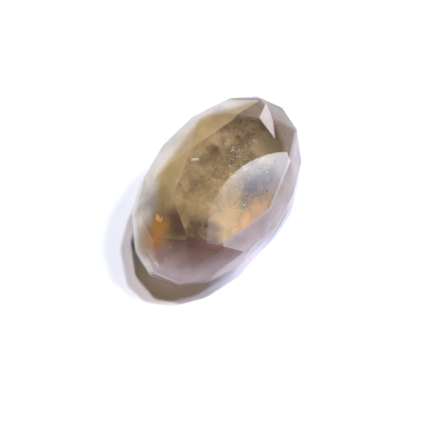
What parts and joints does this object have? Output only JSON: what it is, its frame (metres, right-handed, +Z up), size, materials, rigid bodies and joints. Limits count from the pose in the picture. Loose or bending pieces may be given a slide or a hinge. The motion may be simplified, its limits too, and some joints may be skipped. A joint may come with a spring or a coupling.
{
  "type": "faceted oval imperial topaz",
  "caption": "Clear golden-brown topaz cut as a deep faceted oval, lying on a facet of its pavilion.",
  "frame": {"origin": "on the surface that the stone lies on, under the middle of its box", "axes": "+X along the stone's long axis, +Z up from the facet that it lies on; the table leans towards -Y"},
  "size_m": [0.0114, 0.0068, 0.0049],
  "materials": {
    "topaz": "polished clear crystal"
  },
  "bodies": {
    "root": {"topaz": "topaz"}
  },
  "joints": []
}
